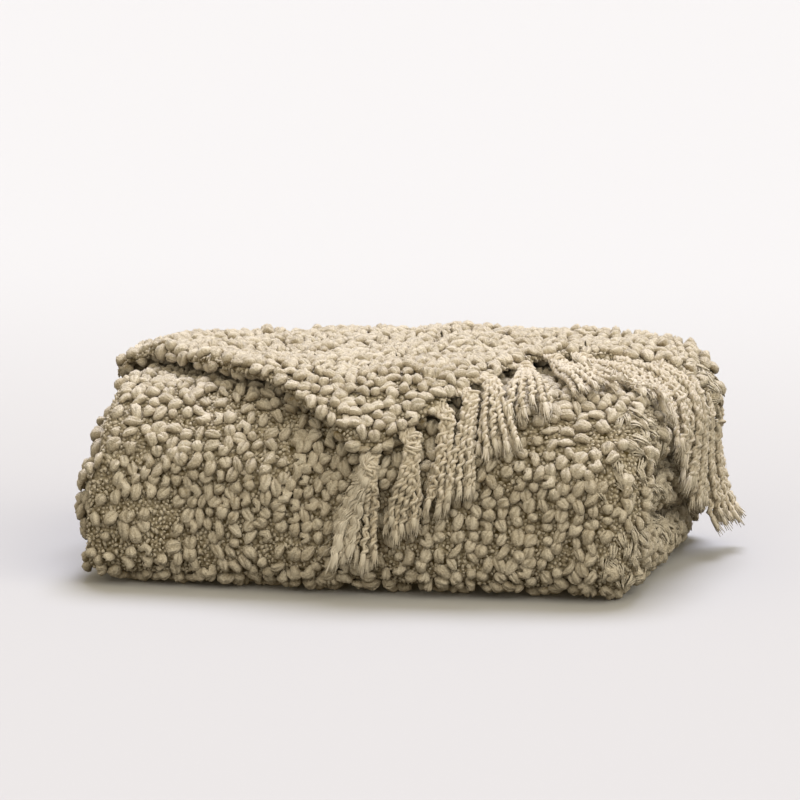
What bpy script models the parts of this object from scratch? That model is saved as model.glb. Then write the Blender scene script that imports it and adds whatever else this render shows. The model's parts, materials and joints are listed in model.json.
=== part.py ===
"""A boucle throw, folded in thirds and then up along its length, with one fringed corner turned over the top.

Metres, +Z up. The throw's front faces -Y and it rests on z = 0, with the origin on its underside.
"""

from math import cos, exp, hypot, pi, sin

import bmesh
import bpy
import numpy as np

# One ply is the cloth with the loops on both faces. Three plies make the strip, and three runs of it the stack.
PLY = 0.0145
PLY_GAP = 0.0025
PITCH = PLY + PLY_GAP
STRIP = 3 * PLY + 2 * PLY_GAP
STRIP_GAP = 0.003
LEVEL = STRIP + STRIP_GAP
STACK = STRIP + 2 * LEVEL

HALF_WIDTH = 0.214
FRONT = -0.146
BACK = 0.144
DEPTH = BACK - FRONT

# Bends of the strip's middle, as it folds up along its length. Its two ends are squeezed a little thinner.
LOW_BEND = 0.030
TOP_BEND = 0.036
WALL_Y = FRONT + STRIP / 2
BACK_BEND_Y = BACK - STRIP / 2 - LEVEL / 2
INNER_END_Y = WALL_Y + STRIP / 2 + STRIP_GAP
TOP_END_Y = 0.112
TOP_LEVEL = STRIP / 2 + 2 * LEVEL
INNER_EDGE_X = HALF_WIDTH - PITCH - PLY / 2 - 0.004
OUTER_EDGE_X = -HALF_WIDTH + (PITCH + PLY) / 2 + 0.003
INNER_SQUEEZE = 0.66
END_SQUEEZE = 0.86

# The flap is the last ply, turned over at the back and laid forward over the stack.
FLAP_PLY = 0.0115
FLAP_RISE = 0.0012
FLAP_HEIGHT = STACK + FLAP_RISE + FLAP_PLY / 2
FLAP_ROOT = 0.030
FLAP_TURN_Y = 0.118
SIDE_BEND_X = HALF_WIDTH - PITCH - PLY / 2

# The flap's outline, in metres, from its fold at the back towards its corner: how far the selvedge, on the
# left, and the hem, on the right, stand from the middle of the stack.
FLAP_OUTLINE = (
    # from the fold, selvedge, hem
    (0.000, -0.196, 0.176),
    (0.015, -0.202, 0.205),
    (0.030, -0.208, 0.224),
    (0.048, -0.214, 0.228),
    (0.066, -0.220, 0.216),
    (0.080, -0.224, 0.198),
    (0.090, -0.227, 0.176),
    (0.100, -0.228, 0.150),
    (0.112, -0.225, 0.122),
    (0.122, -0.216, 0.106),
    (0.140, -0.190, 0.096),
    (0.155, -0.175, 0.092),
    (0.170, -0.160, 0.089),
    (0.185, -0.144, 0.087),
    (0.200, -0.128, 0.084),
    (0.213, -0.111, 0.080),
    (0.225, -0.094, 0.076),
    (0.235, -0.074, 0.070),
    (0.245, -0.054, 0.061),
    (0.255, -0.036, 0.048),
    (0.264, -0.020, 0.034),
    (0.272, -0.008, 0.023),
    (0.279, 0.003, 0.016),
)
EDGE_LIFT = 0.005
EDGE_REACH = 0.030
EDGE_LIFT_FROM = 0.15
EDGE_DROOP_PER_METRE = 15
EDGE_DROOP_EASE = 0.35
TIP_ROUNDING = 0.003

# How the stack has settled, as shifts of a block that was folded square.
LIFT_FRONT = 0.004
SINK_BACK = 0.022
PINCH = 0.012
LOW_BACK = 0.035
LOW_LEFT_BACK = 0.07
STEP_IN_LEFT = 0.012
LEAN_OUT_RIGHT = 0.014
STEP_IN_RIGHT_FOOT = 0.007
STEP_OUT_LEFT_FOOT = 0.006
SAG_RIGHT = 0.015
SAG_FROM_X = 0.150
SAG_FRONT_SHARE = 0.35
NOTCH_LEFT = 0.007
NOTCH_AT = 0.67
NOTCH_REACH = 0.07
FRONT_BOW = 0.010
FRONT_BOW_X = -0.05
FOOT_RADIUS = LOW_BEND + STRIP / 2
FOOT_SQUARENESS = 5
FRONT_LUMPS = (
    # depth, radians per metre across, radians per metre up, phase
    (0.0020, 52, 31, 0.0),
    (0.0016, 83, -47, 1.3),
)
TOP_WAVES = (
    # depth, radians per metre across, radians per metre back, phase
    (0.0012, 71, -60, 0.0),
    (0.0007, 44, 38, 2.1),
    (0.0007, 44, -38, 2.1),
)

# The fringe: yarns as straight-sided strands, fused at a knot that stands just clear of the hem.
STRAND_RADIUS = 0.0023
STRAND_SIDES = 3
STRAND_STEPS = 8
STRAND_HEIGHT = 0.0060
STRAND_LAYER = 0.0056
STRAND_ROOT_SHARE = 0.42
STRAND_SWAY = 0.0012
STRAND_UNEVEN = 0.07
ROOT_SPREAD = 0.0072
TIP_HEIGHT = 0.006
KNOT_RADII = (0.0028, 0.0050, 0.0056, 0.0050, 0.0030)
KNOT_SIDES = 6
KNOT_LENGTH = 0.014
KNOT_BEHIND = 0.004
KNOT_HEIGHT = FLAP_RISE + FLAP_PLY / 2 + 0.001
HEM_CLEARANCE = 0.0030
HEM_STEP = 0.005
CORNER_OUTWARD = (0.0, 1.0)

# One row for each tassel from the corner on, in metres. Its root is at the hem, so far from the flap's fold. Its
# tips lie so far from the fold, from the middle of the stack and above the stack's face, in a fan so wide.
TASSELS = (
    # root from the fold, tips from the fold, tips across, tips' height, fan, strands
    (0.279, 0.382, 0.005, 0.006, 0.037, 8),
    (0.262, 0.370, 0.038, 0.006, 0.026, 6),
    (0.247, 0.354, 0.065, 0.006, 0.018, 5),
    (0.234, 0.340, 0.080, 0.006, 0.022, 5),
    (0.217, 0.284, 0.110, 0.006, 0.028, 6),
    (0.160, 0.258, 0.128, 0.006, 0.032, 7),
    (0.118, 0.226, 0.174, 0.006, 0.034, 7),
    (0.107, 0.206, 0.226, 0.006, 0.032, 7),
    (0.096, 0.172, 0.262, 0.006, 0.032, 7),
    (0.086, 0.124, 0.296, 0.006, 0.032, 7),
    (0.074, 0.092, 0.320, 0.012, 0.029, 7),
    (0.056, 0.056, 0.338, 0.028, 0.029, 7),
    (0.034, 0.026, 0.337, 0.035, 0.030, 7),
)

BOUCLE_COLOUR = (0.56, 0.50, 0.38)
FRINGE_COLOUR = (0.60, 0.54, 0.42)
ROUGHNESS = 0.95


def clamp(value):
    return min(max(value, 0.0), 1.0)


def settle(point):
    """Where a point of the square-folded stack lies once the cloth has slumped."""
    x, y, z = square_foot(*point)
    height = z / STACK
    back = clamp((y - FRONT) / DEPTH)
    right = clamp(x / HALF_WIDTH)
    left = clamp(-x / HALF_WIDTH)
    forward = (1 - back) ** 2 * (1 - ((x - FRONT_BOW_X) / (HALF_WIDTH - FRONT_BOW_X)) ** 2)
    inside = 4 * clamp(height) * (1 - clamp(height))
    lumps = sum(depth * sin(across * x + up * z + phase) for depth, across, up, phase in FRONT_LUMPS)
    waves = sum(depth * sin(across * x + along * y + phase) for depth, across, along, phase in TOP_WAVES)
    past = max(x - SAG_FROM_X, 0) / (HALF_WIDTH - SAG_FROM_X)
    sag = SAG_RIGHT * past**2 * (SAG_FRONT_SHARE + (1 - SAG_FRONT_SHARE) * back)
    notch = NOTCH_LEFT * left**4 * exp(-(((height - NOTCH_AT) / NOTCH_REACH) ** 2))
    foot = (STEP_IN_RIGHT_FOOT * right + STEP_OUT_LEFT_FOOT * left**2) * (1 - clamp(height)) ** 2
    return (
        x + STEP_IN_LEFT * left * height**2 + LEAN_OUT_RIGHT * right * back * height + notch - foot,
        y - FRONT_BOW * forward + lumps * (1 - back),
        z * (1 - (LOW_BACK + LOW_LEFT_BACK * left * (2 - left)) * back)
        + (LIFT_FRONT - (LIFT_FRONT + SINK_BACK) * back) * inside
        + PINCH * sin(2 * pi * clamp(height)) * (1 - back)
        + (waves - sag) * height**2,
    )


def square_foot(x, y, z):
    """The block's weight presses the round bend at its front foot into a squarer corner."""
    ahead = (FRONT + FOOT_RADIUS - y) / FOOT_RADIUS
    below = (FOOT_RADIUS - z) / FOOT_RADIUS
    if ahead > 0 and below > 0:
        square = (ahead**FOOT_SQUARENESS + below**FOOT_SQUARENESS) ** (1 / FOOT_SQUARENESS)
        swell = hypot(ahead, below) / square
        y = FRONT + FOOT_RADIUS * (1 - ahead * swell)
        z = FOOT_RADIUS * (1 - below * swell)
    return x, y, z


def letter_fold():
    """The strip's cross-section: its middle line as rows of place, height and heading, inner edge first."""
    left = -HALF_WIDTH + (PITCH + PLY) / 2
    right = HALF_WIDTH - PITCH - PLY / 2
    across = np.linspace(0, 1, 7)
    rows = [(INNER_EDGE_X + (left - INNER_EDGE_X) * t, 0.0, pi) for t in across]
    for turn in np.linspace(pi, 2 * pi, 5)[1:-1]:
        rows.append((left + PITCH / 2 * sin(turn), -PITCH / 2 * (1 + cos(turn)), turn))
    rows += [(left + (right - left) * t, -PITCH, 2 * pi) for t in across]
    for turn in np.linspace(0, pi, 7)[1:-1]:
        rows.append((right + PITCH * sin(turn), -PITCH * cos(turn), turn))
    rows += [(right + (OUTER_EDGE_X - right) * t, PITCH, pi) for t in across]
    return rows


def outline(rows, half):
    """The loop round a middle line: out along one side, round its end, back along the other."""
    one_side = [(x - half * sin(turn), n + half * cos(turn)) for x, n, turn in rows]
    other_side = [(x + half * sin(turn), n - half * cos(turn)) for x, n, turn in rows]
    noses = []
    for (x, n, turn), way in ((rows[-1], 1), (rows[0], -1)):
        noses.append(
            [
                (x + half * way * cos(turn + swing), n + half * way * sin(turn + swing))
                for swing in (pi / 4, 0, -pi / 4)
            ]
        )
    return one_side + noses[0] + other_side[::-1] + noses[1]


def cap(count, first):
    """Faces that close one end of a swept outline of count rows, whose points start at first."""
    far = [first + 2 * count + 2 - k for k in range(count)]
    near = [first + k for k in range(count)]
    faces = [(near[k], near[k + 1], far[k + 1], far[k]) for k in range(count - 1)]
    faces.append((near[-1], near[-1] + 1, near[-1] + 2, near[-1] + 3, far[-1]))
    faces.append((far[0], far[0] + 1, far[0] + 2, far[0] + 3, near[0]))
    return faces


def swept(name, loops, count):
    """A closed mesh object through loops of points, each the outline of a middle line of count rows."""
    size = len(loops[0])
    faces = cap(count, 0) + cap(count, size * (len(loops) - 1))
    for row in range(len(loops) - 1):
        for k in range(size):
            near, far = row * size + k, row * size + (k + 1) % size
            faces.append((near, far, far + size, near + size))
    return closed_object(name, [point for loop in loops for point in loop], faces)


def closed_object(name, points, faces):
    mesh = bpy.data.meshes.new(name)
    mesh.from_pydata([tuple(p) for p in points], [], faces)
    shape = bmesh.new()
    shape.from_mesh(mesh)
    bmesh.ops.triangulate(shape, faces=[f for f in shape.faces if len(f.verts) > 4])
    bmesh.ops.recalc_face_normals(shape, faces=shape.faces)
    shape.to_mesh(mesh)
    shape.free()
    mesh.shade_smooth()
    obj = bpy.data.objects.new(name, mesh)
    bpy.context.scene.collection.objects.link(obj)
    return obj


def strip_path():
    """Stations of the strip from its inner end: y, z, the way its outer face looks, and its squeeze."""
    middle, bottom = STRIP / 2 + LEVEL, STRIP / 2
    stations = [(INNER_END_Y, middle, pi / 2, INNER_SQUEEZE), (INNER_END_Y + 0.004, middle, pi / 2, END_SQUEEZE)]
    stations += [(y, middle, pi / 2, 1) for y in np.linspace(INNER_END_Y + 0.010, BACK_BEND_Y, 6)]
    back_bend = LEVEL / 2
    for turn in np.linspace(pi / 2, -pi / 2, 7)[1:]:
        stations.append((BACK_BEND_Y + back_bend * cos(turn), bottom + back_bend * (1 + sin(turn)), turn, 1))
    low_y, low_z = WALL_Y + LOW_BEND, bottom + LOW_BEND
    stations += [(y, bottom, -pi / 2, 1) for y in np.linspace(BACK_BEND_Y, low_y, 6)[1:]]
    for turn in np.linspace(-pi / 2, -pi, 6)[1:]:
        stations.append((low_y + LOW_BEND * cos(turn), low_z + LOW_BEND * sin(turn), turn, 1))
    top_y, top_z = WALL_Y + TOP_BEND, TOP_LEVEL - TOP_BEND
    stations.append((WALL_Y, (low_z + top_z) / 2, pi, 1))
    for turn in np.linspace(pi, pi / 2, 6):
        stations.append((top_y + TOP_BEND * cos(turn), top_z + TOP_BEND * sin(turn), turn, 1))
    stations += [(y, TOP_LEVEL, pi / 2, 1) for y in np.linspace(top_y, TOP_END_Y, 6)[1:]]
    stations.append((TOP_END_Y + 0.004, TOP_LEVEL, pi / 2, END_SQUEEZE))
    return stations


def folded_strip():
    rows = letter_fold()
    loops = []
    for y, z, facing, share in strip_path():
        loop = [(x, n * share) for x, n in outline(rows, PLY / 2)]
        loops.append([settle((x, y + n * cos(facing), z + n * sin(facing))) for x, n in loop])
    return swept("throw", loops, len(rows))


def over_stack(x, forward, height):
    """A point laid on the stack: x across, forward from the flap's fold, height above the stack's top."""
    flat = FLAP_TURN_Y - (WALL_Y + TOP_BEND)
    bend = FLAP_HEIGHT - TOP_LEVEL + TOP_BEND
    reach = TOP_BEND + STRIP / 2 + height
    y, z = FLAP_TURN_Y - forward, STACK + height
    if forward > flat:
        turn = (forward - flat) / bend
        y = WALL_Y + TOP_BEND - reach * sin(min(turn, pi / 2))
        z = TOP_LEVEL - TOP_BEND + reach * cos(min(turn, pi / 2)) - bend * max(turn - pi / 2, 0)
    if x > SIDE_BEND_X:
        bend = FLAP_HEIGHT - TOP_LEVEL
        reach = z - TOP_LEVEL
        turn = (x - SIDE_BEND_X) / bend
        x = SIDE_BEND_X + reach * sin(min(turn, pi / 2))
        z = TOP_LEVEL + reach * cos(min(turn, pi / 2)) - bend * max(turn - pi / 2, 0)
    return settle((x, y, z))


def flap():
    """The last ply: from inside the stack's top ply, round its fold at the back, forward to its corner."""
    root_z = TOP_LEVEL + PITCH
    rise = FLAP_HEIGHT - root_z
    across = np.linspace(0, 1, 12)
    table = np.array(FLAP_OUTLINE)

    def rows(left, right):
        return [(left + (right - left) * t, 0.0, 0.0) for t in across]

    left, right = table[0, 1:]
    folds = [(FLAP_TURN_Y - FLAP_ROOT, root_z, -pi / 2), (FLAP_TURN_Y - FLAP_ROOT / 2, root_z, -pi / 2)]
    for turn in np.linspace(-pi / 2, pi / 2, 6)[:-1]:
        folds.append((FLAP_TURN_Y + rise / 2 * cos(turn), root_z + rise / 2 * (1 + sin(turn)), turn))
    loops = []
    for y, z, facing in folds:
        loop = outline(rows(left, right), FLAP_PLY / 2)
        loops.append([settle((x, y + n * cos(facing), z + n * sin(facing))) for x, n in loop])
    for forward, left, right in table:
        loop = outline(rows(left, right), FLAP_PLY / 2)
        loops.append([over_stack(x, forward, flap_height(x, forward, n)) for x, n in loop])
    loop = outline(rows(left + TIP_ROUNDING, right - TIP_ROUNDING), FLAP_PLY / 5)
    loops.append([over_stack(x, forward + 0.004, flap_height(x, forward, n)) for x, n in loop])
    return swept("flap", loops, len(across))


def flap_edges(forward):
    """The selvedge's and the hem's places across, so far from the flap's fold."""
    table = np.array(FLAP_OUTLINE)
    return [float(np.interp(forward, table[:, 0], table[:, side])) for side in (1, 2)]


def flap_height(x, forward, n):
    """Height above the stack of a point n off the flap's middle. The selvedge lifts, and droops past the side."""
    selvedge = flap_edges(forward)[0]
    lift = EDGE_LIFT * clamp(forward / EDGE_LIFT_FROM) * exp(-(((x - selvedge) / EDGE_REACH) ** 2))
    droop = EDGE_DROOP_PER_METRE * max(0, -SIDE_BEND_X - x) ** 2
    droop *= 1 - EDGE_DROOP_EASE * clamp(forward / EDGE_LIFT_FROM)
    return FLAP_RISE + FLAP_PLY / 2 + lift - droop + n


def fuse(target, other):
    """Joins two closed shapes into one body and removes the second object."""
    union = target.modifiers.new("fused", "BOOLEAN")
    union.operation = "UNION"
    union.object = other
    union.use_self = True
    bpy.context.view_layer.update()
    made = bpy.data.meshes.new_from_object(target.evaluated_get(bpy.context.evaluated_depsgraph_get()))
    target.modifiers.clear()
    target.data = made
    bpy.data.objects.remove(other)


def tube(path, radii, sides):
    """Points and faces of a closed tube round a path."""
    path = np.array(path, float)
    along = np.gradient(path, axis=0)
    along /= np.linalg.norm(along, axis=1)[:, None]
    guide = np.array((0.31, 0.2, 0.93)) if abs(along[0, 2]) < 0.8 else np.array((0.9, 0.4, 0.1))
    points, faces = [], []
    for place, way, radius in zip(path, along, radii):
        one = np.cross(way, guide)
        one /= np.linalg.norm(one)
        two = np.cross(way, one)
        for k in range(sides):
            turn = 2 * pi * k / sides
            points.append(place + radius * (cos(turn) * one + sin(turn) * two))
    for row in range(len(path) - 1):
        for k in range(sides):
            near, far = row * sides + k, row * sides + (k + 1) % sides
            faces.append((near, far, far + sides, near + sides))
    faces += [tuple(range(sides)), tuple(range(len(points) - sides, len(points)))]
    return points, faces


def tassel(number, row):
    """A knot beside the hem with its strands fused to it, laid over the stack from root to tips."""
    forward, tip_forward, tip_x, tip_height, fan, count = row
    root = np.array((flap_edges(forward)[1], forward))
    slope = (flap_edges(forward + HEM_STEP)[1] - flap_edges(forward - HEM_STEP)[1]) / (2 * HEM_STEP)
    outward = np.array(CORNER_OUTWARD if forward == FLAP_OUTLINE[-1][0] else (1, -slope))
    root += outward / hypot(*outward) * (FLAP_PLY / 2 + HEM_CLEARANCE + KNOT_RADII[2])
    run = np.array((tip_x, tip_forward)) - root
    length = hypot(*run)
    way = run / length
    beside = np.array((way[1], -way[0]))
    low = STRAND_HEIGHT + STRAND_LAYER * (number % 2)

    def place(along, aside, height):
        x, f = root + way * along + beside * aside
        return over_stack(x, f, height)

    knot_line = np.linspace(0, KNOT_LENGTH, len(KNOT_RADII)) - KNOT_BEHIND
    knot = closed_object(
        f"tassel_{number:02d}",
        *tube([place(along, 0, KNOT_HEIGHT) for along in knot_line], KNOT_RADII, KNOT_SIDES),
    )
    points, faces = [], []
    for k in range(count):
        share = k / (count - 1) - 0.5
        reach = length * (1 - STRAND_UNEVEN * ((k * 5 + number * 3) % 4) / 3)
        first = KNOT_LENGTH / 2 - KNOT_BEHIND
        path, radii = [], []
        for t in np.linspace(0, 1, STRAND_STEPS + 1):
            spread = ROOT_SPREAD + (fan - ROOT_SPREAD) * t * (1 + t * (3 - 2 * t)) / 2
            sway = STRAND_SWAY * sin(9 * t + 2.3 * k + number) * t
            upper = STRAND_LAYER * 0.9 * (k % 2) * (1 - clamp(2 * t - 1))
            height = KNOT_HEIGHT + (low - KNOT_HEIGHT) * clamp(4 * t) + (tip_height - TIP_HEIGHT) * t**2
            height += upper - STRAND_LAYER / 2 * (1 - t) ** 3
            path.append(place(first + (reach - first) * t, share * spread + sway, height))
            radii.append(STRAND_RADIUS * clamp(STRAND_ROOT_SHARE + 2 * t))
        strand_points, strand_faces = tube(path, radii, STRAND_SIDES)
        faces += [tuple(len(points) + i for i in face) for face in strand_faces]
        points += strand_points
    fuse(knot, closed_object("strands", points, faces))
    return knot


def material(name, colour):
    made = bpy.data.materials.new(name)
    made.use_nodes = True
    shader = made.node_tree.nodes["Principled BSDF"]
    shader.inputs["Base Color"].default_value = (*colour, 1)
    shader.inputs["Roughness"].default_value = ROUGHNESS
    shader.inputs["Metallic"].default_value = 0
    return made


def main():
    for obj in list(bpy.data.objects):
        bpy.data.objects.remove(obj)
    throw = folded_strip()
    fuse(throw, flap())
    throw.data.materials.clear()
    throw.data.materials.append(material("boucle", BOUCLE_COLOUR))
    yarn = material("fringe", FRINGE_COLOUR)
    for number, row in enumerate(TASSELS, 1):
        made = tassel(number, row)
        made.data.materials.clear()
        made.data.materials.append(yarn)


main()
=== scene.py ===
import json
from math import cos, pi, radians, sin

import bpy
import numpy as np
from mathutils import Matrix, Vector, noise
from mathutils.bvhtree import BVHTree
from mathutils.kdtree import KDTree

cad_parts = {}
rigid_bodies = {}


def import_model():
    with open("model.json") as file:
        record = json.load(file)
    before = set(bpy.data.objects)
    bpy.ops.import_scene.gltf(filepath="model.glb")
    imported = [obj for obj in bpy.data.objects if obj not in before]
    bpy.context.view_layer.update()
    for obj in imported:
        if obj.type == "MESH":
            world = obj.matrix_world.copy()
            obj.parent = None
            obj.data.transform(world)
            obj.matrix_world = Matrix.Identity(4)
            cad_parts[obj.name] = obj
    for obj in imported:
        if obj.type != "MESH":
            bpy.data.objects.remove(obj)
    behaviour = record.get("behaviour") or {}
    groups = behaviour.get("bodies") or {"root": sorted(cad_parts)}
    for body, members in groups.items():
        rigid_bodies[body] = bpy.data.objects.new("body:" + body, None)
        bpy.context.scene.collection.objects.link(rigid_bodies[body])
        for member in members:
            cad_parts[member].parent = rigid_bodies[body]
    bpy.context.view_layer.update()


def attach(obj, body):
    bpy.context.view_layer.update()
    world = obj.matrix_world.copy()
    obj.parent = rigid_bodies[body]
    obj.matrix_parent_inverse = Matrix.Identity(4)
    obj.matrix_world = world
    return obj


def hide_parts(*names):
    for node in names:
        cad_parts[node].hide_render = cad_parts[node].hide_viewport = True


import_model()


# The room: a pale paper floor that runs far back behind the throw, a broad soft light above and a little
# behind it, and weaker ones that fill the front and the right. A long lens looks slightly down at its front.
class Wire:
    """One output of a node, or a tree with none yet. Sums and products of it add Math nodes to the tree."""

    def __init__(self, tree, socket=None):
        self.tree = tree
        self.socket = socket

    def node(self, kind, settings=None, inputs=None, output=0):
        """Adds a node. The settings are set first, and then the values or links of its sockets."""
        made = self.tree.nodes.new(kind)
        for name, value in (settings or {}).items():
            setattr(made, name, value)
        for name, value in (inputs or {}).items():
            if isinstance(value, Wire):
                self.tree.links.new(value.socket, made.inputs[name])
            else:
                made.inputs[name].default_value = value
        return Wire(self.tree, made.outputs[output] if made.outputs else None)

    def of(self, output):
        """Another output of the same node."""
        return Wire(self.tree, self.socket.node.outputs[output])

    def math(self, operation, one, two):
        return self.node("ShaderNodeMath", {"operation": operation}, {0: one, 1: two})

    def __add__(self, other):
        return self.math("ADD", self, other)

    __radd__ = __add__

    def __mul__(self, other):
        return self.math("MULTIPLY", self, other)

    __rmul__ = __mul__

    def __sub__(self, other):
        return self.math("SUBTRACT", self, other)

    def __rsub__(self, other):
        return self.math("SUBTRACT", other, self)

    def __gt__(self, other):
        return self.math("GREATER_THAN", self, other)

    def __lt__(self, other):
        return self.math("LESS_THAN", self, other)

    def part(self, axis):
        """This vector along X, Y or Z."""
        return self.node("ShaderNodeSeparateXYZ", {}, {0: self}, axis)

    def vector(self, x, y, z):
        return self.node("ShaderNodeCombineXYZ", {}, {0: x, 1: y, 2: z})

    def clamped(self):
        return self.node("ShaderNodeClamp", {}, {0: self})

    def eased(self, start, end):
        """0 up to start, 1 from end, and a smooth step between."""
        return self.node(
            "ShaderNodeMapRange",
            {"interpolation_type": "SMOOTHSTEP"},
            {"Value": self, "From Min": start, "From Max": end},
        )

    def mixed(self, one, two):
        """Between two plain colours by this factor."""
        return self.node("ShaderNodeMix", {"data_type": "RGBA"}, {0: self, 6: (*one, 1), 7: (*two, 1)}, 2)


def blank_material(name, roughness):
    """A material with only its shader. Returns it, a wire on its tree and the shader."""
    made = bpy.data.materials.new(name)
    made.use_nodes = True
    shader = made.node_tree.nodes["Principled BSDF"]
    shader.inputs["Roughness"].default_value = roughness
    return made, Wire(made.node_tree), shader


def plug(wire, shader, socket):
    wire.tree.links.new(wire.socket, shader.inputs[socket])


CAMERA_AZIMUTH = radians(12.0)
CAMERA_HEIGHT = radians(9.6)
CAMERA_DISTANCE = 4.0
CAMERA_TARGET = Vector((0.003, 0.0, 0.121))
CAMERA_LENS = 240.3
CAMERA_SENSOR = 36
CAMERA_REACH = 100
PAPER_HALF = 30
# The paper's colour near the front and far back: it is painted brighter towards the back, which is painted
# light.
PAPER_NEAR = (0.506, 0.506, 0.512)
PAPER_FAR = (0.575, 0.583, 0.592)
PAPER_FADE = (0.1, 1.6)
SUNS = (
    # name, comes from, strength, softness, colour
    ("soft_top", (0.02, 0.36, 1.0), 2.7, radians(34), (0.99, 1.01, 1.19)),
    ("right_fill", (0.8, -0.5, 0.7), 1.6, radians(60), (1.0, 0.96, 0.84)),
    ("front_fill", (-0.25, -1.0, 0.35), 0.85, radians(60), (1.0, 0.94, 0.80)),
)
SKY_ABOVE = (0.455, 0.39, 0.27)
SKY_BELOW = (0.06, 0.045, 0.022)
SKY_BLEND = 0.2

in_scene = bpy.context.scene.collection.objects
camera = bpy.data.objects.new("camera", bpy.data.cameras.new("camera"))
towards = Vector((
    sin(CAMERA_AZIMUTH) * cos(CAMERA_HEIGHT),
    -cos(CAMERA_AZIMUTH) * cos(CAMERA_HEIGHT),
    sin(CAMERA_HEIGHT),
))
camera.location = CAMERA_TARGET + CAMERA_DISTANCE * towards
camera.rotation_euler = towards.to_track_quat("Z", "Y").to_euler()
camera.data.lens = CAMERA_LENS
camera.data.sensor_width = CAMERA_SENSOR
camera.data.clip_end = CAMERA_REACH
in_scene.link(camera)
bpy.context.scene.camera = camera
bpy.context.scene.view_settings.view_transform = "Standard"

paper = bpy.data.meshes.new("paper_floor")
corners = [(x * PAPER_HALF, y * PAPER_HALF, 0) for x, y in ((-1, -1), (1, -1), (1, 1), (-1, 1))]
paper.from_pydata(corners, [], [(0, 1, 2, 3)])
floor = bpy.data.objects.new("paper_floor", paper)
in_scene.link(floor)
paper_material, wire, shader = blank_material("pale_paper", 0.9)
# Painted light: the paper is painted brighter towards the back, as though more light fell there.
back = wire.node("ShaderNodeTexCoord", {}, {}, "Object").part("Y")
plug(back.eased(*PAPER_FADE).mixed(PAPER_NEAR, PAPER_FAR), shader, "Base Color")
paper.materials.append(paper_material)
floor.visible_diffuse = False

for name, way, strength, softness, colour in SUNS:
    lamp = bpy.data.lights.new(name, "SUN")
    lamp.energy = strength
    lamp.angle = softness
    lamp.color = colour
    holder = bpy.data.objects.new(name, lamp)
    holder.rotation_euler = Vector(way).to_track_quat("Z", "Y").to_euler()
    in_scene.link(holder)

world = bpy.data.worlds.new("studio")
bpy.context.scene.world = world
world.use_nodes = True
wire = Wire(world.node_tree)
height = wire.node("ShaderNodeTexCoord", {}, {}, "Generated").part("Z")
sky = height.eased(-SKY_BLEND, SKY_BLEND).mixed(SKY_BELOW, SKY_ABOVE)
plug(sky, world.node_tree.nodes["Background"], "Color")


# The throw's ground cloth: one woven sheet, folded in thirds across its width and then up along its length.
# Its last ply is turned forward over the top. The sheet carries the loops and lies in the middle of each ply
# of the solid, which the loops on its two faces fill out. All sizes are in metres.
GROUND_HALF = 0.0024
MESH_STEP = 0.0110
TIGHT_BEND_ROWS = 9
WIDE_BEND_ROWS = 13
FRONT_BEND_ROWS = 10
FLAP_BEND_ROWS = 8
FLAP_ROWS = 52
PLY = 0.0145
PLY_GAP = 0.0025
PITCH = PLY + PLY_GAP
STRIP = 3 * PLY + 2 * PLY_GAP
STRIP_GAP = 0.003
LEVEL = STRIP + STRIP_GAP
STACK = STRIP + 2 * LEVEL
HALF_WIDTH = 0.214
FRONT = -0.146
BACK = 0.144
DEPTH = BACK - FRONT
LOW_BEND = 0.030
TOP_BEND = 0.036
WALL_Y = FRONT + STRIP / 2
BACK_BEND_Y = BACK - STRIP / 2 - LEVEL / 2
INNER_END_Y = WALL_Y + STRIP / 2 + STRIP_GAP
TOP_END_Y = 0.112
TOP_LEVEL = STRIP / 2 + 2 * LEVEL
INNER_SQUEEZE = 0.66
END_SQUEEZE = 0.86
END_LENGTH = 0.004
INNER_END_LENGTH = 0.010
INNER_THIRD_SHORT = 0.004
OUTER_THIRD_SHORT = 0.003
FLAP_PLY = 0.0115
FLAP_RISE = 0.0012
FLAP_HEIGHT = STACK + FLAP_RISE + FLAP_PLY / 2
FLAP_ROOT = 0.030
FLAP_TURN_Y = 0.118
SIDE_BEND_X = HALF_WIDTH - PITCH - PLY / 2
FLAP_OUTLINE = (
    # from the fold, selvedge, hem
    (0.000, -0.196, 0.176),
    (0.015, -0.202, 0.205),
    (0.030, -0.208, 0.224),
    (0.048, -0.214, 0.228),
    (0.066, -0.220, 0.216),
    (0.080, -0.224, 0.198),
    (0.090, -0.227, 0.176),
    (0.100, -0.228, 0.150),
    (0.112, -0.225, 0.122),
    (0.122, -0.216, 0.106),
    (0.140, -0.190, 0.096),
    (0.155, -0.175, 0.092),
    (0.170, -0.160, 0.089),
    (0.185, -0.144, 0.087),
    (0.200, -0.128, 0.084),
    (0.213, -0.111, 0.080),
    (0.225, -0.094, 0.076),
    (0.235, -0.074, 0.070),
    (0.245, -0.054, 0.061),
    (0.255, -0.036, 0.048),
    (0.264, -0.020, 0.034),
    (0.272, -0.008, 0.023),
    (0.279, 0.003, 0.016),
)
EDGE_LIFT = 0.005
EDGE_REACH = 0.030
EDGE_LIFT_FROM = 0.15
EDGE_DROOP_PER_METRE = 15
EDGE_DROOP_EASE = 0.35
LIFT_FRONT = 0.004
SINK_BACK = 0.022
PINCH = 0.012
LOW_BACK = 0.035
LOW_LEFT_BACK = 0.07
STEP_IN_LEFT = 0.012
LEAN_OUT_RIGHT = 0.014
STEP_IN_RIGHT_FOOT = 0.007
STEP_OUT_LEFT_FOOT = 0.006
SAG_RIGHT = 0.015
SAG_FROM_X = 0.150
SAG_FRONT_SHARE = 0.35
NOTCH_LEFT = 0.007
NOTCH_AT = 0.67
NOTCH_REACH = 0.07
FRONT_BOW = 0.010
FRONT_BOW_X = -0.05
FOOT_RADIUS = LOW_BEND + STRIP / 2
FOOT_SQUARENESS = 5
FRONT_LUMPS = (
    # depth, radians per metre across, radians per metre up, phase
    (0.0020, 52, 31, 0.0),
    (0.0016, 83, -47, 1.3),
)
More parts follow.
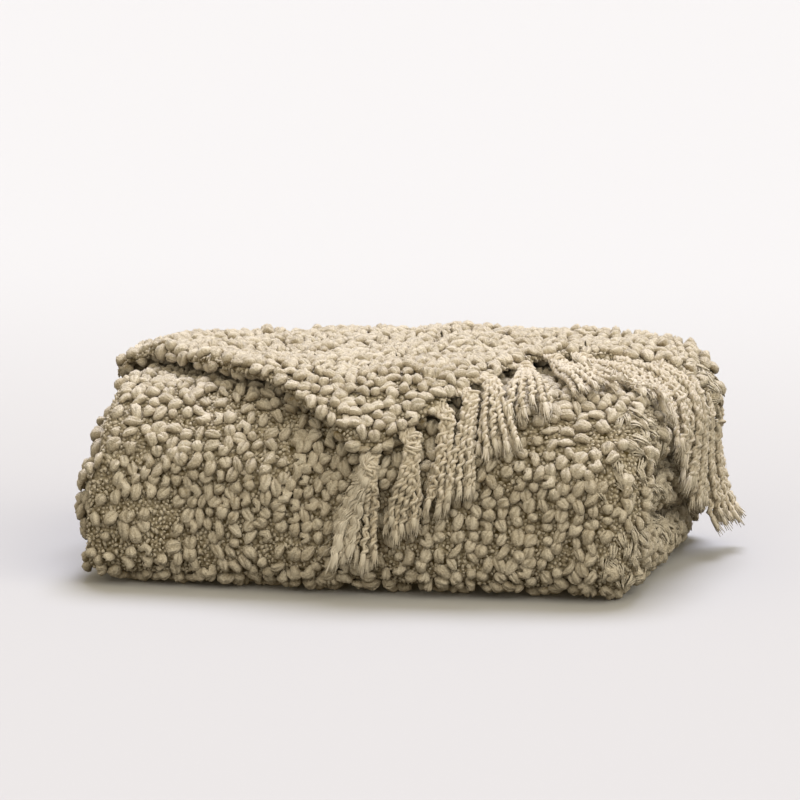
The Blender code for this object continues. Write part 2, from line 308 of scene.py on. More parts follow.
TOP_WAVES = (
    # depth, radians per metre across, radians per metre back, phase
    (0.0012, 71, -60, 0.0),
    (0.0007, 44, 38, 2.1),
    (0.0007, 44, -38, 2.1),
)


def settle(points):
    """Where points of the square-folded stack lie once the cloth has slumped."""
    x, y, z = np.moveaxis(np.asarray(points, float), -1, 0)
    ahead = np.maximum((FRONT + FOOT_RADIUS - y) / FOOT_RADIUS, 0)
    below = np.maximum((FOOT_RADIUS - z) / FOOT_RADIUS, 0)
    in_foot = (ahead > 0) & (below > 0)
    square = np.where(in_foot, (ahead**FOOT_SQUARENESS + below**FOOT_SQUARENESS) ** (1 / FOOT_SQUARENESS), 1)
    swell = np.where(in_foot, np.hypot(ahead, below) / square, 1)
    y = np.where(in_foot, FRONT + FOOT_RADIUS * (1 - ahead * swell), y)
    z = np.where(in_foot, FOOT_RADIUS * (1 - below * swell), z)
    height = z / STACK
    back = np.clip((y - FRONT) / DEPTH, 0, 1)
    right = np.clip(x / HALF_WIDTH, 0, 1)
    left = np.clip(-x / HALF_WIDTH, 0, 1)
    forward = (1 - back) ** 2 * (1 - ((x - FRONT_BOW_X) / (HALF_WIDTH - FRONT_BOW_X)) ** 2)
    level = np.clip(height, 0, 1)
    lumps = sum(depth * np.sin(across * x + up * z + phase) for depth, across, up, phase in FRONT_LUMPS)
    waves = sum(depth * np.sin(across * x + along * y + phase) for depth, across, along, phase in TOP_WAVES)
    past = np.maximum(x - SAG_FROM_X, 0) / (HALF_WIDTH - SAG_FROM_X)
    sag = SAG_RIGHT * past**2 * (SAG_FRONT_SHARE + (1 - SAG_FRONT_SHARE) * back)
    notch = NOTCH_LEFT * left**4 * np.exp(-(((height - NOTCH_AT) / NOTCH_REACH) ** 2))
    foot = (STEP_IN_RIGHT_FOOT * right + STEP_OUT_LEFT_FOOT * left**2) * (1 - level) ** 2
    new_x = x + STEP_IN_LEFT * left * height**2 + LEAN_OUT_RIGHT * right * back * height + notch - foot
    new_y = y - FRONT_BOW * forward + lumps * (1 - back)
    new_z = (
        z * (1 - (LOW_BACK + LOW_LEFT_BACK * left * (2 - left)) * back)
        + (LIFT_FRONT - (LIFT_FRONT + SINK_BACK) * back) * 4 * level * (1 - level)
        + PINCH * np.sin(2 * pi * level) * (1 - back)
        + (waves - sag) * height**2
    )
    return np.stack([new_x, new_y, new_z], -1)


def steps(start, end):
    """Places from start to end, about a mesh step apart."""
    return np.linspace(start, end, max(int(abs(end - start) / MESH_STEP), 1) + 1)


def letter_fold():
    """The strip's cross-section: its middle line as rows of place, height and heading, inner edge first."""
    left = -HALF_WIDTH + (PITCH + PLY) / 2
    right = SIDE_BEND_X
    rows = [(x, 0.0, pi) for x in steps(right - INNER_THIRD_SHORT, left)]
    for turn in np.linspace(pi, 2 * pi, TIGHT_BEND_ROWS)[1:-1]:
        rows.append((left + PITCH / 2 * sin(turn), -PITCH / 2 * (1 + cos(turn)), turn))
    rows += [(x, -PITCH, 2 * pi) for x in steps(left, right)]
    for turn in np.linspace(0, pi, WIDE_BEND_ROWS)[1:-1]:
        rows.append((right + PITCH * sin(turn), -PITCH * cos(turn), turn))
    rows += [(x, PITCH, pi) for x in steps(right, left + OUTER_THIRD_SHORT)]
    return np.array(rows)


def outline(rows, half):
    """The loop round a middle line: out along one side, round its end, back along the other."""
    x, n, turn = rows.T
    one_side = np.stack([x - half * np.sin(turn), n + half * np.cos(turn)], 1)
    other_side = np.stack([x + half * np.sin(turn), n - half * np.cos(turn)], 1)
    swing = np.array((pi / 4, 0, -pi / 4))
    noses = []
    for (x, n, turn), way in ((rows[-1], 1), (rows[0], -1)):
        turns = turn + swing
        noses.append(np.stack([x + half * way * np.cos(turns), n + half * way * np.sin(turns)], 1))
    return np.concatenate([one_side, noses[0], other_side[::-1], noses[1]])


def cap(count, first):
    """Faces that close one end of a swept outline of count rows, whose points start at first."""
    far = [first + 2 * count + 2 - k for k in range(count)]
    near = [first + k for k in range(count)]
    faces = [(near[k], near[k + 1], far[k + 1], far[k]) for k in range(count - 1)]
    faces.append((near[-1], near[-1] + 1, near[-1] + 2, near[-1] + 3, far[-1]))
    faces.append((far[0], far[0] + 1, far[0] + 2, far[0] + 3, near[0]))
    return faces


def ring_faces(rings, sides, first=0):
    """The faces between rings of points that follow each other."""
    faces = []
    for near in range(first, first + (rings - 1) * sides, sides):
        for k in range(sides):
            after = (k + 1) % sides
            faces.append((near + k, near + after, near + after + sides, near + k + sides))
    return faces


def swept_faces(stations, size, count, first):
    """The faces of a swept outline of size points, with a cap at each of its two ends."""
    return cap(count, first) + cap(count, first + size * (stations - 1)) + ring_faces(stations, size, first)


def strip_path():
    """Stations of the strip from its inner end: y, z, the way its outer face looks, and its squeeze."""
    middle, bottom = STRIP / 2 + LEVEL, STRIP / 2
    rows = [(INNER_END_Y, middle, pi / 2, INNER_SQUEEZE)]
    rows.append((INNER_END_Y + END_LENGTH, middle, pi / 2, END_SQUEEZE))
    rows += [(y, middle, pi / 2, 1) for y in steps(INNER_END_Y + INNER_END_LENGTH, BACK_BEND_Y)]
    bend = LEVEL / 2
    for turn in np.linspace(pi / 2, -pi / 2, WIDE_BEND_ROWS)[1:]:
        rows.append((BACK_BEND_Y + bend * cos(turn), bottom + bend * (1 + sin(turn)), turn, 1))
    low_y, low_z = WALL_Y + LOW_BEND, bottom + LOW_BEND
    rows += [(y, bottom, -pi / 2, 1) for y in steps(BACK_BEND_Y, low_y)[1:]]
    for turn in np.linspace(-pi / 2, -pi, FRONT_BEND_ROWS)[1:]:
        rows.append((low_y + LOW_BEND * cos(turn), low_z + LOW_BEND * sin(turn), turn, 1))
    top_y, top_z = WALL_Y + TOP_BEND, TOP_LEVEL - TOP_BEND
    rows += [(WALL_Y, z, pi, 1) for z in steps(low_z, top_z)[1:-1]]
    for turn in np.linspace(pi, pi / 2, FRONT_BEND_ROWS):
        rows.append((top_y + TOP_BEND * cos(turn), top_z + TOP_BEND * sin(turn), turn, 1))
    rows += [(y, TOP_LEVEL, pi / 2, 1) for y in steps(top_y, TOP_END_Y)[1:]]
    rows.append((TOP_END_Y + END_LENGTH, TOP_LEVEL, pi / 2, END_SQUEEZE))
    return np.array(rows)


def over_stack(x, forward, height):
    """Points laid on the stack: x across, forward from the flap's fold, height above the stack's top."""
    x, forward, height = np.broadcast_arrays(x, forward, height)
    flat = FLAP_TURN_Y - (WALL_Y + TOP_BEND)
    bend = FLAP_HEIGHT - TOP_LEVEL + TOP_BEND
    reach = TOP_BEND + STRIP / 2 + height
    turn = np.maximum(forward - flat, 0) / bend
    over = np.minimum(turn, pi / 2)
    y = np.where(forward > flat, WALL_Y + TOP_BEND - reach * np.sin(over), FLAP_TURN_Y - forward)
    z = TOP_LEVEL - TOP_BEND + reach * np.cos(over) - bend * np.maximum(turn - pi / 2, 0)
    bend = FLAP_HEIGHT - TOP_LEVEL
    turn = np.maximum(x - SIDE_BEND_X, 0) / bend
    over = np.minimum(turn, pi / 2)
    reach = z - TOP_LEVEL
    beside = x > SIDE_BEND_X
    z = np.where(beside, TOP_LEVEL + reach * np.cos(over) - bend * np.maximum(turn - pi / 2, 0), z)
    x = np.where(beside, SIDE_BEND_X + reach * np.sin(over), x)
    return settle(np.stack([x, y, z], -1))


flap_table = np.array(FLAP_OUTLINE)


def flap_edge(forward, side):
    """How far across the selvedge, side 1, or the hem, side 2, lies so far from the flap's fold."""
    return np.interp(forward, flap_table[:, 0], flap_table[:, side])


def flap_height(x, forward, n):
    """Height above the stack, n off the flap's middle. The selvedge lifts, and droops past the side."""
    lift = EDGE_LIFT * np.clip(forward / EDGE_LIFT_FROM, 0, 1)
    lift = lift * np.exp(-(((x - flap_edge(forward, 1)) / EDGE_REACH) ** 2))
    droop = EDGE_DROOP_PER_METRE * np.maximum(0, -SIDE_BEND_X - x) ** 2
    droop = droop * (1 - EDGE_DROOP_EASE * np.clip(forward / EDGE_LIFT_FROM, 0, 1))
    return FLAP_RISE + FLAP_PLY / 2 + lift - droop + n


fold_rows = letter_fold()
loop = outline(fold_rows, GROUND_HALF)
path = strip_path()
y, z, facing, squeeze = (path[:, k, None] for k in range(4))
n = loop[:, 1] * squeeze
x = np.broadcast_to(loop[:, 0], n.shape)
strip = settle(np.stack([x, y + n * np.cos(facing), z + n * np.sin(facing)], -1))


def flap_loop(left, right):
    """The flap's flat cross-section between its two edges."""
    share = np.linspace(0, 1, FLAP_ROWS)
    return outline(np.stack([left + (right - left) * share, 0 * share, 0 * share], 1), GROUND_HALF)


root_z = TOP_LEVEL + PITCH
rise = FLAP_HEIGHT - root_z
folds = [(FLAP_TURN_Y - FLAP_ROOT * share, root_z, -pi / 2) for share in (1, 0.75, 0.5, 0.25)]
for turn in np.linspace(-pi / 2, pi / 2, FLAP_BEND_ROWS)[:-1]:
    folds.append((FLAP_TURN_Y + rise / 2 * cos(turn), root_z + rise / 2 * (1 + sin(turn)), turn))
flap = []
for y, z, facing in folds:
    x, n = flap_loop(*flap_table[0, 1:]).T
    flap.append(settle(np.stack([x, y + n * cos(facing), z + n * sin(facing)], -1)))
for forward in steps(0, flap_table[-1, 0]):
    x, n = flap_loop(flap_edge(forward, 1), flap_edge(forward, 2)).T
    flap.append(over_stack(x, forward, flap_height(x, forward, n)))
flap = np.array(flap)

points = np.concatenate([strip.reshape(-1, 3), flap.reshape(-1, 3)])


def outwards(points, faces):
    """The faces of one closed body, turned round if they point inwards."""
    points = np.asarray(points)
    volume = 0
    for f in faces:
        for k in range(1, len(f) - 1):
            volume += np.dot(points[f[0]], np.cross(points[f[k]], points[f[k + 1]]))
    return faces if volume > 0 else [f[::-1] for f in faces]


def mesh_object(name, points, faces):
    mesh = bpy.data.meshes.new(name)
    mesh.from_pydata([tuple(p) for p in points], [], faces)
    mesh.shade_smooth()
    obj = bpy.data.objects.new(name, mesh)
    in_scene.link(obj)
    return obj


def roughed(height, depth, shader, strength=1.0):
    """Gives a shader relief of this depth, from a height between 0 and 1."""
    bump = height.node("ShaderNodeBump", {}, {"Strength": strength, "Distance": depth, "Height": height})
    plug(bump, shader, "Normal")


faces = outwards(points, swept_faces(len(strip), strip.shape[1], len(fold_rows), 0))
flap_first = len(strip) * strip.shape[1]
faces += outwards(points, swept_faces(len(flap), flap.shape[1], FLAP_ROWS, flap_first))
cloth = mesh_object("ground_cloth", points, faces)
UNEVEN_DEPTH = 0.0012
UNEVEN_SIZE = 0.022
ABOVE_FLOOR = 0.0012
normals = [vertex.normal.copy() for vertex in cloth.data.vertices]
for vertex, normal in zip(cloth.data.vertices, normals):
    vertex.co += normal * UNEVEN_DEPTH * noise.noise(vertex.co / UNEVEN_SIZE)
    vertex.co.z = max(vertex.co.z, ABOVE_FLOOR)

# The grain tops carry the weave's own colour. The dark between the grains is painted shade, for its pits and
# for the gaps under the curls.
GROUND_PIT_SHADE = (0.07, 0.047, 0.012)
GROUND_TOP = (0.52, 0.45, 0.33)
GRAIN_SIZE = 0.0027
GRAIN_DEPTH = 0.0012
ground_material, wire, shader = blank_material("boucle_ground", 0.95)
place = wire.node("ShaderNodeTexCoord", {}, {}, "Object")
grains = wire.node(
    "ShaderNodeTexVoronoi",
    {"feature": "SMOOTH_F1"},
    {"Vector": place, "Scale": 1 / GRAIN_SIZE, "Smoothness": 0.3},
)
# Painted shade: the pits between the grains are painted dark.
tops = (1.25 - grains * 1.5).clamped()
plug(tops.mixed(GROUND_PIT_SHADE, GROUND_TOP), shader, "Base Color")
roughed(tops, GRAIN_DEPTH, shader)
cloth.data.materials.append(ground_material)
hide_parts("throw")
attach(cloth, "root")


# The boucle face: a thick, loosely spun yarn that the weaver lets stand up in fat curls: creased ovals,
# crescents and small coils. They crowd each other and leave patches bare, where small crumbs of yarn show.
# On the throw's right side some of them are brushed out to soft tufts.
OPEN_RAYS = 14
OPEN_FROM = 0.006
OPEN_REACH = 0.35
OPEN_SPREAD = 0.93
GOLDEN_ANGLE = 2.399963
FLOOR_REACH = 0.03
SEEN_FROM = 0.04
SEEN_BLEND = 0.10
PATCH_SIZE = 0.018
PATCH_FROM = 0.40
PATCH_BLEND = 0.08
PATCH_BARE = 0.96
UNDER_COVER = 0.32
UNDER_BELOW = 0.012
TUCKED_OPEN = 0.10
TUCKED_ABOVE = 0.115
TUCKED_BEFORE = 0.06
TUCKED_REACH = 0.036
BRUSHED_FROM = 0.182
BRUSHED_BLEND = 0.016
BRUSHED_BELOW = 0.150
BRUSHED_SIZE = 0.030
BRUSHED_BARE = 0.7
CURL_LIFT = 0.0014
CURL_LINE = 60
CURL_SIDES = np.radians((90, 108, 150, 205, 270, 335, 30, 72))
CURL_LUMPS = 1.0
CURL_LUMP_SIZE = 2.6
CURL_TAPER = 0.60
CURL_END_PUSH = 0.6
CURL_TIP = 0.14
CURL_RINGS = np.array((-1, -0.74, -0.26, 0.26, 0.74, 1))
CURLS = (
    # name, copies, length, bend in radians, lift, thickness, flatness, crease, how the crease drifts
    ("bean", 5, 9.6, 0.5, 1.2, 4.1, 0.86, 0.36, 0.4),
    ("split_bean", 4, 9.2, 0.25, 1.0, 4.5, 0.80, 0.52, -0.3),
    ("pebble", 3, 6.8, 0.3, 0.8, 4.2, 0.88, 0.16, 0.3),
    ("long_pebble", 3, 11.5, 0.7, 1.4, 3.7, 0.92, 0.28, 0.4),
    ("crescent", 2, 12.5, 1.9, 1.6, 3.4, 0.95, 0.20, 0.6),
    ("coil", 3, 13.5, 4.6, 1.0, 3.3, 1.00, 0.10, 0.2),
    ("arch", 2, 8.5, 0.4, 3.0, 3.7, 0.92, 0.30, 0.3),
    ("twin", 3, 8.8, -0.5, 0.9, 4.7, 0.76, 0.62, 0.5),
)


def add_values(mesh, name, values):
    """Stores a number at each point of the mesh, under a name."""
    made = mesh.attributes.new(name, "FLOAT", "POINT")
    made.data.foreach_set("value", np.asarray(values, np.float32))


def small_shape(name, points, faces, values, lift=0.0):
    """A shape to scatter, kept out of the scene, with its points' values. The points are in millimetres."""
    obj = mesh_object(name, np.array(points) / 1000 + (0, 0, lift), outwards(points, faces))
    in_scene.unlink(obj)
    for label, row in values.items():
        add_values(obj.data, label, row)
    return obj


def curl_mesh(name, draw, length, bend, lift, thickness, flatness, crease, drift):
    """A fat yarn along a bent line: closed and lumpy, with a crease along its top. Sizes in millimetres."""
    length, bend, thickness, drift = np.array((length, bend, thickness, drift)) * draw.uniform(0.85, 1.15, 4)
    s = CURL_RINGS
    fine = np.linspace(-1, 1, CURL_LINE + 1)
    heading = bend / 2 * fine
    line = np.stack([np.cumsum(np.cos(heading)), np.cumsum(np.sin(heading))], 1) * length / CURL_LINE
    line -= line.mean(0)
    way = np.stack([np.cos(heading), np.sin(heading)], 1)
    spots = np.searchsorted(fine, s).clip(0, CURL_LINE)
    lump_place = Vector(draw.uniform(0, 50, 3))
    points = []
    for k, at in zip(spots, s):
        bulk = thickness * (1 - abs(at) ** 3 * CURL_TAPER)
        for column, turn in enumerate(CURL_SIDES):
            turn = turn + drift * at
            radius = bulk * (1 - crease * (column == 0) * (1 - at**4))
            side = np.array((-way[k, 1], way[k, 0]))
            across, up = side * radius * cos(turn), radius * sin(turn) * flatness
            spot = np.array((*(line[k] + across), lift * (1 - at * at) + up))
            out = np.array((*(across + way[k] * at * radius * CURL_END_PUSH), up)) / radius
            points.append(spot + out * CURL_LUMPS * noise.noise(Vector(spot) / CURL_LUMP_SIZE + lump_place))
    sides = len(CURL_SIDES)
    faces = ring_faces(len(s), sides)
    last = len(points) - sides
    for first, at in ((0, -1), (last, 1)):
        tip = np.mean(points[first : first + sides], 0)
        tip[:2] += way[0 if at < 0 else -1] * at * thickness * CURL_TIP
        points.append(tip)
        for k in range(sides):
            near, far = (k, (k + 1) % sides) if at > 0 else ((k + 1) % sides, k)
            faces.append((first + near, first + far, len(points) - 1))
    in_crease = np.tile(np.arange(sides) == 0, len(s)) * min(crease * 3, 1)
    # around runs from 1 on the curl's top to -1 at its foot, and the material paints light and shade by it.
    # crease marks the groove, which the material paints darker.
    values = {
        "along": (*np.repeat(s * length / 2000, sides), -length / 2000, length / 2000),
        "around": (*np.tile(np.sin(CURL_SIDES), len(s)), 0, 0),
        "across": (*np.tile(np.cos(CURL_SIDES), len(s)), 0, 0),
        "crease": (*(in_crease * np.repeat(1 - s**4, sides)), 0, 0),
    }
    return small_shape(name, points, faces, values, CURL_LIFT)


CRUMB_SIDES = 6
CRUMB_COPIES = 6
CRUMB_RADIUS = 1.65
# Around values for a crumb's top, waist and foot: painted light on its top and painted shade at its foot.
CRUMB_LIGHT = (1.2, 0.6, -1)


def crumb_mesh(name, draw):
    """A tiny knot of yarn: a lumpy double cone of twelve faces. Sizes in millimetres."""
    turns = np.arange(CRUMB_SIDES) * 2 * pi / CRUMB_SIDES
    reach = CRUMB_RADIUS * draw.uniform(0.5, 1.2) * draw.uniform(0.6, 1.3, CRUMB_SIDES)
    stretch = draw.uniform(1.0, 1.9)
    points = [(0, 0, CRUMB_RADIUS * draw.uniform(0.6, 1.1))]
    points += [(stretch * r * cos(t), r * sin(t), draw.uniform(-0.3, 0.3)) for r, t in zip(reach, turns)]
    points.append((0, 0, -CRUMB_RADIUS * 0.6))
    faces = []
    for k in range(CRUMB_SIDES):
        near, far = 1 + k, 1 + (k + 1) % CRUMB_SIDES
        faces += [(0, near, far), (len(points) - 1, far, near)]
    # Painted light and shade: the crumb's top is painted lighter and its foot darker, through the around value
    # the curls use.
    top, waist, foot = CRUMB_LIGHT
    return small_shape(name, points, faces, {"around": [top] + [waist] * CRUMB_SIDES + [foot]})


TUFT_FIBRES = 9
TUFT_SPREAD = 4.0
TUFT_LENGTH = 12.5
TUFT_RADIUS = 0.56
TUFT_THICKNESS = (0.5, 1.1, 0.9, 0.2)
TUFT_LOW = 1.0
TUFT_HIGH = 2.6
TUFT_DROOP = 2.4
TUFT_LIGHT = 1.9


def tuft_mesh(name, draw):
    """A curl that has been brushed out: soft tapering fibres along its length. Sizes in millimetres."""
    points, faces = [], []
    for fibre in range(TUFT_FIBRES):
        length = TUFT_LENGTH * draw.uniform(0.7, 1.2)
        aside, bow = draw.uniform(-1, 1, 2) * TUFT_SPREAD
        up = TUFT_LOW + TUFT_HIGH * (1 - (aside / TUFT_SPREAD) ** 2) * draw.uniform(0.7, 1.2)
        for t, thick in zip(np.linspace(-0.5, 0.5, len(TUFT_THICKNESS)), TUFT_THICKNESS):
            for k in range(3):
                turn = k * 2 * pi / 3 + fibre
                points.append((
                    length * t,
                    aside * (0.7 + 0.6 * t) + bow * t * t + TUFT_RADIUS * thick * cos(turn),
                    up * (1 - TUFT_DROOP * t * t) + TUFT_RADIUS * thick * sin(turn),
                ))
        first = fibre * 3 * len(TUFT_THICKNESS)
        last = first + 3 * len(TUFT_THICKNESS) - 3
        faces += ring_faces(len(TUFT_THICKNESS), 3, first)
        faces += [(first + 2, first + 1, first), (last, last + 1, last + 2)]
    values = {"around": [TUFT_LIGHT] * len(points), "across": [p[1] / TUFT_SPREAD for p in points]}
    return small_shape(name, points, faces, values)


def openness(mesh):
    """For each point of the cloth, the share of rays off its face that meet neither cloth nor floor."""
    tree = BVHTree.FromPolygons([v.co for v in mesh.vertices], [p.vertices for p in mesh.polygons])
    turns = np.arange(OPEN_RAYS) * GOLDEN_ANGLE
    up = np.sqrt(1 - (np.arange(OPEN_RAYS) + 0.5) / OPEN_RAYS * OPEN_SPREAD)
    rays = [Vector((cos(t) * (1 - u * u) ** 0.5, sin(t) * (1 - u * u) ** 0.5, u)) for t, u in zip(turns, up)]
    found = np.zeros(len(mesh.vertices), np.float32)
    for vertex in mesh.vertices:
        start = vertex.co + vertex.normal * OPEN_FROM
        turn = vertex.normal.to_track_quat("Z", "Y").to_matrix()
        free = 0
        for ray in rays:
            way = turn @ ray
            if start.z + way.z * FLOOR_REACH < 0:
                continue
            free += tree.ray_cast(start, way, OPEN_REACH)[0] is None
        found[vertex.index] = free / OPEN_RAYS
    return found


def cloth_noise(size, shift):
    """Smooth noise at each point of the cloth, in lumps of this size."""
    return np.array([noise.noise(v.co / size + Vector(shift)) for v in cloth.data.vertices])


# Each kind is as dense as its value on the cloth: cover for curls, seen for crumbs, brushed for tufts.
open_share = openness(cloth.data)
patch = cloth_noise(PATCH_SIZE, (7.3, 1.1, 4.2)).astype(np.float32)
in_patch = np.clip((patch - PATCH_FROM) / PATCH_BLEND, 0, 1)
seen = np.clip((open_share - SEEN_FROM) / SEEN_BLEND, 0, 1)
cover = seen * (1 - PATCH_BARE * in_patch)
under = np.array([v.normal.z < -0.5 and v.co.z < UNDER_BELOW for v in cloth.data.vertices])
cover = np.where(under, np.maximum(cover, UNDER_COVER), cover)
seen = np.where(under, 0, seen)
# The curls go on a little way in under the flap.
opened = [vertex.co for vertex, share in zip(cloth.data.vertices, open_share) if share > TUCKED_OPEN]
near_open = KDTree(len(opened))
for index, spot in enumerate(opened):
    near_open.insert(spot, index)
near_open.balance()
for vertex in cloth.data.vertices:
    tucked = vertex.co.z > TUCKED_ABOVE and vertex.co.y < TUCKED_BEFORE
    if tucked and near_open.find(vertex.co)[2] < TUCKED_REACH:
        cover[vertex.index] = 1
streaks = np.clip(0.6 + 2 * cloth_noise(BRUSHED_SIZE, (2.1, 5.5, 8.3)), 0, 1)
x, _, z = np.array([v.co for v in cloth.data.vertices]).T
on_right = np.clip((x - BRUSHED_FROM) / BRUSHED_BLEND, 0, 1)
below_top = np.clip((BRUSHED_BELOW - z) / BRUSHED_BLEND, 0, 1)
brushed = seen * on_right * below_top * streaks
cover = cover * (1 - BRUSHED_BARE * brushed)
for name, values in (("cover", cover), ("seen", seen), ("brushed", brushed)):
    add_values(cloth.data, name, values)

TRACE = 0.02
MOST_CURLS = 300000.0
MOST_CRUMBS = 1200000.0


def scatter_tree():
    """A tree that stands curls, tufts and crumbs on a slice of a surface, and the names of its inputs."""
    tree = bpy.data.node_groups.new("scattered_boucle", "GeometryNodeTree")
    sockets = {}
    for kind, labels in (
        ("Geometry", ("Surface",)),
        ("Float", ("Spacing", "Crumb spacing", "Crumb clearance", "Tuft spacing", "From x", "To x")),
        ("Float", ("Smallest", "Largest", "Tilt", "Turn on walls", "Droop on walls")),
        ("Collection", ("Curls", "Crumbs", "Tufts")),
        ("Material", ("Finish",)),
        ("Int", ("Seed",)),
    ):
        for label in labels:
            made = tree.interface.new_socket(label, in_out="INPUT", socket_type="NodeSocket" + kind)
            sockets[label] = made.identifier
    tree.interface.new_socket("Result", in_out="OUTPUT", socket_type="NodeSocketGeometry")
    wire = Wire(tree)
    given = wire.node("NodeGroupInput")

    def spread_over(label, spacing, most):
        """Points over the surface by its value of this name: this far apart, and so many to a square metre."""
        where = wire.node("GeometryNodeInputNamedAttribute", {"data_type": "FLOAT"}, {"Name": label})
        wanted = wire.node(
            "GeometryNodeSeparateGeometry",
            {"domain": "FACE"},
            {"Geometry": given.of("Surface"), "Selection": where > TRACE},
        )
        return wire.node(
            "GeometryNodeDistributePointsOnFaces",
            {"distribute_method": "POISSON"},
            {
                "Mesh": wanted, "Distance Min": spacing, "Density Max": most, "Density Factor": where,
                "Seed": given.of("Seed"),
            },
        )

    def random_triple(low, high, seed):
        ends = {0: wire.vector(*low), 1: wire.vector(*high), "Seed": seed}
        return wire.node("FunctionNodeRandomValue", {"data_type": "FLOAT_VECTOR"}, ends)

    def rotated(rotation, by):
        by = wire.node("FunctionNodeEulerToRotation", {}, {0: by})
        return wire.node("FunctionNodeRotateRotation", {"rotation_space": "LOCAL"}, {0: rotation, 1: by})

    def stood(spread, keep, shapes, seed):
        """A shape on each point that is kept, turned freely on level cloth and drooping on upright cloth."""
        upward = spread.of("Normal").part("Z")
        wall = 1 - upward * upward
        level = wire.node("FunctionNodeAlignRotationToVector", {"axis": "Z"}, {"Vector": spread.of("Normal")})
        level = wire.node(
            "FunctionNodeAlignRotationToVector",
            {"axis": "X", "pivot_axis": "Z"},
            {"Rotation": level, "Vector": (0, 0, 1)},
        )
        droop = wire.vector(0.0, wall * given.of("Droop on walls"), 0.0)
        tilt = given.of("Tilt")
        turn = wall * given.of("Turn on walls") + (1 - wall) * pi
        any_way = random_triple((0 - tilt, 0 - tilt, 0 - turn), (tilt, tilt, turn), seed)
        turned = rotated(rotated(level, droop), any_way)
        small, large = given.of("Smallest"), given.of("Largest")
        size = random_triple((small, small, small), (large, large, large), seed + 1)
        instances = wire.node(
            "GeometryNodeCollectionInfo", {},
            {"Collection": shapes, "Separate Children": True, "Reset Children": True},
        )
        ends = {4: 0, 5: 1000, "Seed": seed + 2}
        pick = wire.node("FunctionNodeRandomValue", {"data_type": "INT"}, ends, 2)
        placed = wire.node(
            "GeometryNodeInstanceOnPoints", {},
            {
                "Points": spread, "Selection": keep, "Instance": instances, "Pick Instance": True,
                "Instance Index": pick, "Rotation": turned, "Scale": size,
            },
        )
        tint = wire.node("FunctionNodeRandomValue", {"data_type": "FLOAT"}, {"Seed": seed + 3}, 1)
        return wire.node(
            "GeometryNodeStoreNamedAttribute",
            {"data_type": "FLOAT", "domain": "INSTANCE"},
            {"Geometry": placed, "Name": "tint", "Value": tint},
        )

    x = wire.node("GeometryNodeInputPosition").part("X")
    inside = (x > given.of("From x")) * (x < given.of("To x"))
    curls = spread_over("cover", given.of("Spacing"), MOST_CURLS)
    crumbs = spread_over("seen", given.of("Crumb spacing"), MOST_CRUMBS)
    away = wire.node("GeometryNodeProximity", {"target_element": "POINTS"}, {0: curls}, "Distance")
    joined = wire.node("GeometryNodeJoinGeometry")
    for part in (
        stood(curls, inside, given.of("Curls"), 3),
        stood(crumbs, inside * (away > given.of("Crumb clearance")), given.of("Crumbs"), 13),
        stood(spread_over("brushed", given.of("Tuft spacing"), MOST_CURLS), inside, given.of("Tufts"), 23),
    ):
        tree.links.new(part.socket, joined.socket.node.inputs[0])
    real = wire.node("GeometryNodeRealizeInstances", {}, {0: joined})
    finished = wire.node("GeometryNodeSetMaterial", {}, {0: real, 2: given.of("Finish")})
    wire.node("NodeGroupOutput", {}, {0: finished})
    return tree, sockets


LOWEST_POINT = 0.0003


def scattered(name, surface, tree, sockets, values):
    """What the tree makes on the surface with these inputs, as a plain mesh object."""
    holder = bpy.data.objects.new(name + "_field", surface)
    in_scene.link(holder)
    modifier = holder.modifiers.new("scatter", "NODES")
    modifier.node_group = tree
    for label, value in values.items():
        modifier[sockets[label]] = value
    bpy.context.view_layer.update()
    graph = bpy.context.evaluated_depsgraph_get()
    result = holder.evaluated_get(graph)
    mesh = bpy.data.meshes.new_from_object(result, preserve_all_data_layers=True, depsgraph=graph)
    bpy.data.objects.remove(holder)
    mesh.name = name
    made = bpy.data.objects.new(name, mesh)
    in_scene.link(made)
    places = np.empty(len(mesh.vertices) * 3, np.float32)
    mesh.vertices.foreach_get("co", places)
    places[2::3] = np.maximum(places[2::3], LOWEST_POINT)
    mesh.vertices.foreach_set("co", places)
    mesh.shade_smooth()
    mesh.update()
    return made


# Painted light and shade: the curls are painted from a dark, shaded root to a pale, lit top.
CURL_SHADED_ROOT = (0.165, 0.108, 0.030)
CURL_LIT_TOP = (0.73, 0.66, 0.54)
CURL_SHEEN = (0.95, 0.88, 0.76)
CURL_RELIEF = 0.003
SHEEN_ROUGHNESS = 0.6


def spun_material(name, roughness, sheen, sheen_colour, *labels):
    """Soft spun yarn with a sheen: its material, its shader, and wires to the named values of its points."""
    made, wire, shader = blank_material(name, roughness)
    shader.inputs["Sheen Weight"].default_value = sheen
    shader.inputs["Sheen Roughness"].default_value = SHEEN_ROUGHNESS
    shader.inputs["Sheen Tint"].default_value = (*sheen_colour, 1)
    values = [wire.node("ShaderNodeAttribute", {"attribute_name": label}, {}, "Fac") for label in labels]
    return made, shader, *values


def grainy(at, scale, detail, roughness=0.5):
    """Noise at a wired place."""
    sizes = {"Vector": at, "Scale": scale, "Detail": detail, "Roughness": roughness}
    return at.node("ShaderNodeTexNoise", {}, sizes)


def fibre_noise(along, beside, tint, detail, roughness):
    """Noise drawn out along a yarn, and different for each tint."""
    return grainy(along.vector(along, beside, tint * 40), 1, detail, roughness)


curl_material, shader, tint, along, around, across, crease = spun_material(
    "boucle_curl", 0.92, 0.25, CURL_SHEEN, "tint", "along", "around", "across", "crease"
)
place = tint.node("ShaderNodeTexCoord", {}, {}, "Object")
clumps = grainy(place, 60, 2)
relief = fibre_noise(along * 110, across * 2.4, tint, 2, 0.5) * 0.5 + grainy(place, 700, 2, 0.6) * 0.5
